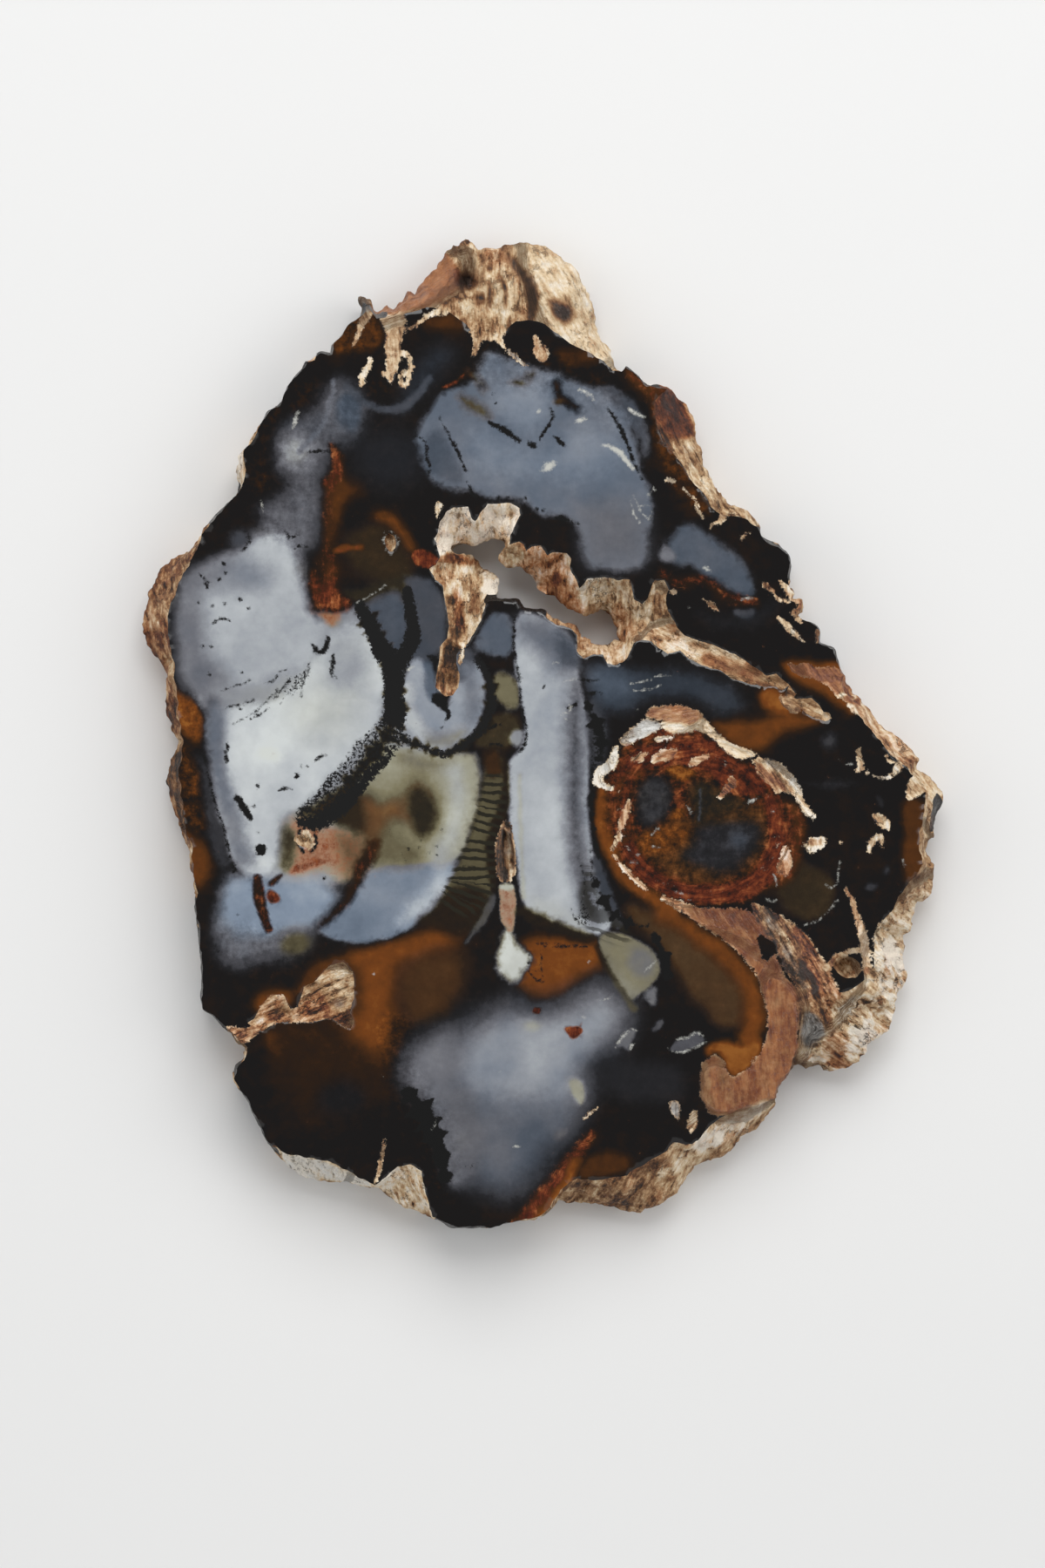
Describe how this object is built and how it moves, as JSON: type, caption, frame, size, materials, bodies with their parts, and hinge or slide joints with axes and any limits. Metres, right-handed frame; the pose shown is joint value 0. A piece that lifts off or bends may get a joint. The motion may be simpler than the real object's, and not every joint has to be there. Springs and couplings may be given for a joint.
{
  "type": "petrified wood slab",
  "caption": "Flat slice of agatised wood with one polished face, a rough rind, a knob at one end and a ragged hole through it.",
  "frame": {"origin": "middle of the slab's length and width, on the plane of its sawn back", "axes": "+Z out of the polished face, +Y along the longest extent towards the rough knob, +X to the right when looking at the polished face with the knob at the top"},
  "size_m": [0.1154, 0.1426, 0.011],
  "materials": {
    "agatised_wood": "Polished dark agate with milky, blue-grey and amber zones on the face, a matt sawn back, and a rough tan and brown rind"
  },
  "bodies": {
    "root": {"petrified_wood_slab": "agatised_wood"}
  },
  "joints": []
}
